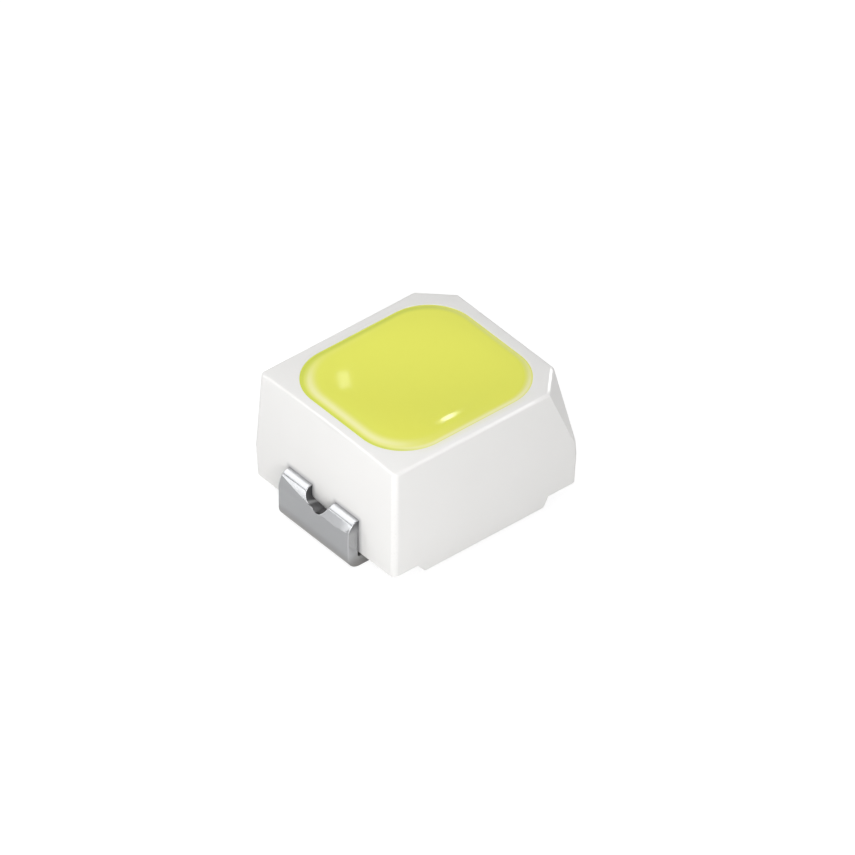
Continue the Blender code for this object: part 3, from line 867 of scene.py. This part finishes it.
def silver_plate():
    """Silver plate with painted shine on its edges, dull walls where the punch cut it, and painted shade at
    the top of those walls, in the notch and at the foot.
    """
    material, tree, shader = principled("silver_plate", (0.375, 0.38, 0.39), 0.25, 1.0)
    z = object_axes(tree)[2]
    cut_edge = attribute(tree, "cut_edge")
    plate = mix_colours(tree, noise(tree, 2500.0), (0.362, 0.367, 0.377), (0.388, 0.393, 0.403))
    # Painted highlight: the stamped edges are made lighter, to draw bright lines along them.
    edge_shine = math_node(tree, "MULTIPLY", attribute(tree, "painted_edge_shine"), 0.7)
    shine_paint = mix_colours(tree, edge_shine, plate, (0.66, 0.66, 0.68))
    cut = mix_colours(tree, cut_edge, shine_paint, (0.47, 0.475, 0.485))
    # Painted shade: the cut walls darken towards their top, next to the moulding.
    top_of_side_shade = math_node(tree, "MULTIPLY", cut_edge, ramp(tree, z, 0.58 * MM, 0.74 * MM, 0.0, 0.8))
    side_top_shaded = mix_colours(tree, top_of_side_shade, cut, (0.14, 0.14, 0.145))
    # Painted shade: darker towards the foot, standing for the floor's shadow mirrored in the lead.
    low = ramp(tree, z, 0.04 * MM, 0.32 * MM, 1.0, 0.0)
    foot = math_node(tree, "SUBTRACT", low, math_node(tree, "MULTIPLY", cut_edge, 0.2))
    foot_shaded = mix_colours(tree, foot, side_top_shaded, (0.23, 0.222, 0.21))
    # Painted shade on the notch's walls.
    notch = mix_colours(tree, attribute(tree, "notch_painted_shade"), foot_shaded, (0.13, 0.13, 0.135))
    tree.links.new(notch, shader.inputs["Base Color"])
    tree.links.new(spread(tree, noise(tree, 9000.0), 0.22, 0.28), shader.inputs["Roughness"])
    add_bump(tree, shader, noise(tree, 20000.0), 0.0003 * MM, 0.2)
    return material


def phosphor():
    """Yellow-green silicone, with painted light that makes it a little lighter towards the far corner, and a
    painted pale highlight and a painted green shade at its rim.
    """
    material, tree, shader = principled("phosphor_silicone", (0.74, 0.76, 0.11), 0.035)
    shader.inputs["IOR"].default_value = 1.41
    patches = mix_colours(tree, noise(tree, 1000.0, 1.0), (0.72, 0.75, 0.12), (0.745, 0.75, 0.105))
    x, y = object_axes(tree)[:2]
    # Painted light: the silicone is made lighter towards the far corner.
    towards_far_corner = math_node(tree, "ADD", x, y)
    share = ramp(tree, towards_far_corner, -WINDOW_HALF_Y, WINDOW_HALF_Y, 0.0, 1.0)
    far_corner_lit = mix_colours(tree, share, patches, (0.845, 0.865, 0.13))
    # Painted pale highlight at the rim, then painted green shade at the rim.
    pale = mix_colours(tree, attribute(tree, "rim_painted_highlight"), far_corner_lit, (0.88, 0.86, 0.48))
    green = mix_colours(tree, attribute(tree, "rim_painted_shade"), pale, (0.64, 0.70, 0.10))
    tree.links.new(green, shader.inputs["Base Color"])
    return material


def inner_finish(name, first, second, roughness, metallic, grain_scale):
    """A finish for the small pieces inside the silicone, mottled between two colours and finely uneven."""
    material, tree, shader = principled(name, first, roughness, metallic)
    mottle = mix_colours(tree, noise(tree, grain_scale), first, second)
    tree.links.new(mottle, shader.inputs["Base Color"])
    uneven = spread(tree, noise(tree, grain_scale * 4), roughness * 0.7, roughness * 1.3)
    tree.links.new(uneven, shader.inputs["Roughness"])
    add_bump(tree, shader, noise(tree, grain_scale * 3), 0.0004 * MM, 0.3)
    return material


def finish_inner_pieces():
    """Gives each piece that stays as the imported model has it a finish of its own."""
    sapphire = inner_finish("sapphire", (0.42, 0.55, 0.62), (0.50, 0.62, 0.68), 0.12, 0.0, 6000.0)
    adhesive = inner_finish("clear_adhesive", (0.80, 0.78, 0.70), (0.86, 0.84, 0.77), 0.18, 0.0, 9000.0)
    gold = inner_finish("gold", (0.95, 0.68, 0.28), (1.0, 0.76, 0.36), 0.22, 1.0, 30000.0)
    finishes = (("led_die", sapphire), ("die_attach", adhesive), ("anode_wire", gold), ("cathode_wire", gold))
    for node, material in finishes:
        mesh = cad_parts[node].data
        mesh.materials.clear()
        mesh.materials.append(material)


# Setting


def mirrored(normal):
    """The direction that the camera sees mirrored in a surface that faces along normal."""
    normal = Vector(normal).normalized()
    return 2 * normal.dot(VIEW_BACK) * normal - VIEW_BACK


def in_bend(degrees):
    """The direction mirrored in the upper bend of the lead at -X, this far round from its level top."""
    turn = math.radians(degrees)
    return mirrored((-math.sin(turn), 0.0, math.cos(turn)))


def in_silicone(x, y):
    """The direction mirrored in the silicone at a point of its surface."""
    return mirrored(silicone_normal(x, y))


def light_strip(name, first, last, depth, radiance, distance=LAMP_DISTANCE, seen_from=BODY_MIDDLE):
    """A soft lamp as seen from a point: from the first direction to the last, and depth (in radians) across.

    A radiance of 1 is as bright as white paper.
    """
    data = bpy.data.lights.new(name, "AREA")
    data.shape = "RECTANGLE"
    data.size = (last - first).length * distance
    data.size_y = depth * distance
    data.energy = radiance * math.pi * data.size * data.size_y
    lamp = bpy.data.objects.new(name, data)
    bpy.context.scene.collection.objects.link(lamp)
    towards = (first + last).normalized()
    along = (last - first - towards * (last - first).dot(towards)).normalized()
    across = towards.cross(along)
    lamp.location = Vector(seen_from) + towards * distance
    lamp.rotation_mode = "QUATERNION"
    lamp.rotation_quaternion = Matrix((along, across, towards)).transposed().to_quaternion()


def edge_lamps(name, sideways, tilts, depth, radiance, seen_from):
    """Strips of light, end to end, that a rounded top edge mirrors between the tilts given in degrees."""
    up = Vector((0.0, 0.0, 1.0))
    outwards = Vector((*sideways, 0.0))
    turns = [math.radians(tilt) for tilt in tilts]
    normals = [outwards * math.sin(turn) + up * math.cos(turn) for turn in turns]
    for place, (first, last) in enumerate(zip(normals, normals[1:])):
        light_strip(f"{name}_{place}", mirrored(first), mirrored(last), depth, radiance, seen_from=seen_from)


def shine(name, place, reach, depth, radiance):
    """A small lamp whose reflection shows at one place on the silicone, drawn out by reach either way."""
    first = in_silicone(place[0] - reach[0], place[1] - reach[1])
    last = in_silicone(place[0] + reach[0], place[1] + reach[1])
    light_strip(name, first, last, depth, radiance, seen_from=(*place, CROWN_LEVEL))


def light_edges():
    """The lamps that draw bright lines along the top edges at -Y and of the near slant."""
    front_middle = (TOP_HALF_X / 2, -TOP_HALF_Y, TOP_HEIGHT)
    slant_corner_top = (TOP_HALF_X, -TOP_HALF_Y, TOP_HEIGHT)
    edge_lamps("front_edge_lamp", (0.0, -1.0), (15.0, 25.0, 35.0, 45.0, 55.0), 0.065, 4.2, front_middle)
    edge_lamps("slant_edge_lamp", (0.707, -0.707), (8.0, 17.0, 26.0, 35.0, 44.0), 0.05, 6.5, slant_corner_top)


def light_lead():
    """The lamps mirrored in the upper bend of the lead at -X, one above another."""
    bend = (-BEND_X, 0.0, LEAD_TOP)
    light_strip("bend_lamp", in_bend(13.0), in_bend(38.0), 0.34, 3.0, seen_from=bend)
    light_strip("wedge_lamp", in_bend(43.5), in_bend(61.5), 0.17, 4.0, seen_from=bend)
    light_strip("flat_lamp", in_bend(63.0), in_bend(66.5), 0.3, 3.2, seen_from=bend)


def light_body():
    """The large lamps: off the near corner, in front of the side at -Y, and over the top."""
    corner = Vector((-0.68, -0.66, 0.36))
    beside = Vector((0.12, -0.12, 0.0))
    light_strip("corner_lamp", corner - beside, corner + beside, 0.5, 2.3, distance=CORNER_LAMP_DISTANCE)
    front = (Vector((-0.50, -0.82, 0.28)), Vector((-0.28, -0.92, 0.28)))
    light_strip("front_lamp", *front, 0.3, 10.5)
    top = (Vector((-0.64, 0.10, 0.76)), Vector((-0.44, -0.30, 0.80)))
    light_strip("top_lamp", *top, 0.4, 4.6, distance=TOP_LAMP_DISTANCE)


def light_silicone():
    """The two highlights on the silicone: an oval at the left and a streak near the side at -Y."""
    shine("oval_lamp", (-0.826 * MM, 0.621 * MM), (0.11 * MM, 0.17 * MM), 0.006, 3.3)
    shine("streak_lamp", (-0.12 * MM, -0.924 * MM), (0.0, 0.03 * MM), 0.0055, 14.5)


def light_paths(tree):
    """The ray kinds, and 1 for rays from the camera or through something clear, 0 for all others."""
    kinds = add_node(tree, "ShaderNodeLightPath").outputs
    return kinds, math_node(tree, "MAXIMUM", kinds["Is Camera Ray"], kinds["Is Transmission Ray"])


def make_floor():
    """White paper that is white to the camera, and keeps the part's shadow."""
    bm = bmesh.new()
    bmesh.ops.create_grid(bm, x_segments=1, y_segments=1, size=0.6)
    floor = object_from("floor", bm)
    floor.location.z = -FLOOR_GAP
    material = bpy.data.materials.new("paper")
    material.use_nodes = True
    tree = material.node_tree
    shader = tree.nodes["Principled BSDF"]
    shader.inputs["Roughness"].default_value = 0.9
    shader.inputs["Emission Color"].default_value = (1.0, 1.0, 1.0, 1.0)
    kinds, seen = light_paths(tree)
    paper = mix_colours(tree, seen, (0.88, 0.88, 0.88), (0.22, 0.22, 0.22))
    tree.links.new(paper, shader.inputs["Base Color"])
    glow = sum_of_products(tree, seen, 0.87, kinds["Is Glossy Ray"], 0.2)
    tree.links.new(glow, shader.inputs["Emission Strength"])
    floor.data.materials.append(material)


def make_world():
    """Even studio light from all round, a little stronger from -X, and white to the camera."""
    world = bpy.data.worlds.new("studio")
    world.use_nodes = True
    tree = world.node_tree
    back = tree.nodes["Background"]
    back.inputs["Color"].default_value = (1.0, 1.0, 1.0, 1.0)
    coordinates = add_node(tree, "ShaderNodeTexCoord")
    split = add_node(tree, "ShaderNodeSeparateXYZ")
    tree.links.new(coordinates.outputs["Generated"], split.inputs[0])
    sideways = add_node(tree, "ShaderNodeMapRange")
    sideways.inputs["From Min"].default_value = -1.0
    sideways.inputs["To Min"].default_value = 0.35
    sideways.inputs["To Max"].default_value = 0.345
    tree.links.new(split.outputs["X"], sideways.inputs["Value"])
    seen = light_paths(tree)[1]
    tree.links.new(mix_values(tree, seen, sideways.outputs[0], 1.0), back.inputs["Strength"])
    bpy.context.scene.world = world


def make_camera():
    """The photograph's view: its direction, its scale, and where the middle of its frame points."""
    distance = 0.30
    frame_width = 11.175 * MM
    sensor_width = 36.0
    right = Vector((math.cos(VIEW_AZIMUTH), math.sin(VIEW_AZIMUTH), 0.0))
    up = VIEW_BACK.cross(right)
    aim = Vector((0.0, 0.0, 0.9908 * MM)) + right * 0.1481 * MM + up * 0.0546 * MM
    data = bpy.data.cameras.new("photo_camera")
    data.sensor_width = sensor_width
    data.lens = sensor_width * distance / frame_width
    data.clip_start = 0.01
    data.clip_end = 3.0
    camera = bpy.data.objects.new("photo_camera", data)
    bpy.context.scene.collection.objects.link(camera)
    camera.location = aim + VIEW_BACK * distance
    camera.rotation_mode = "QUATERNION"
    camera.rotation_quaternion = Matrix((right, up, VIEW_BACK)).transposed().to_quaternion()
    bpy.context.scene.camera = camera


def main():
    bpy.context.scene.view_settings.view_transform = "Standard"
    silver = silver_plate()
    folding = folding_tree(silver)
    ends = (("anode_lead", -1, ANODE_PAD_END), ("cathode_lead", 1, CATHODE_PAD_END))
    channels = []
    for node, side, pad_end in ends:
        lead = fold(flat_blank(f"{node}_folded", pad_end, 0.0), folding, side)
        press_bend(lead, side)
        shade(lead, LEAD_SHARP)
        finish_piece(lead, silver, "silver_plate", node)
        channels.append(fold(flat_blank(f"{node}_channel", pad_end, MOULD_GAP), folding, side))
    make_moulding(white_plastic(), channels)
    make_silicone(phosphor())
    finish_inner_pieces()
    make_camera()
    make_floor()
    make_world()
    light_body()
    light_lead()
    light_edges()
    light_silicone()


main()
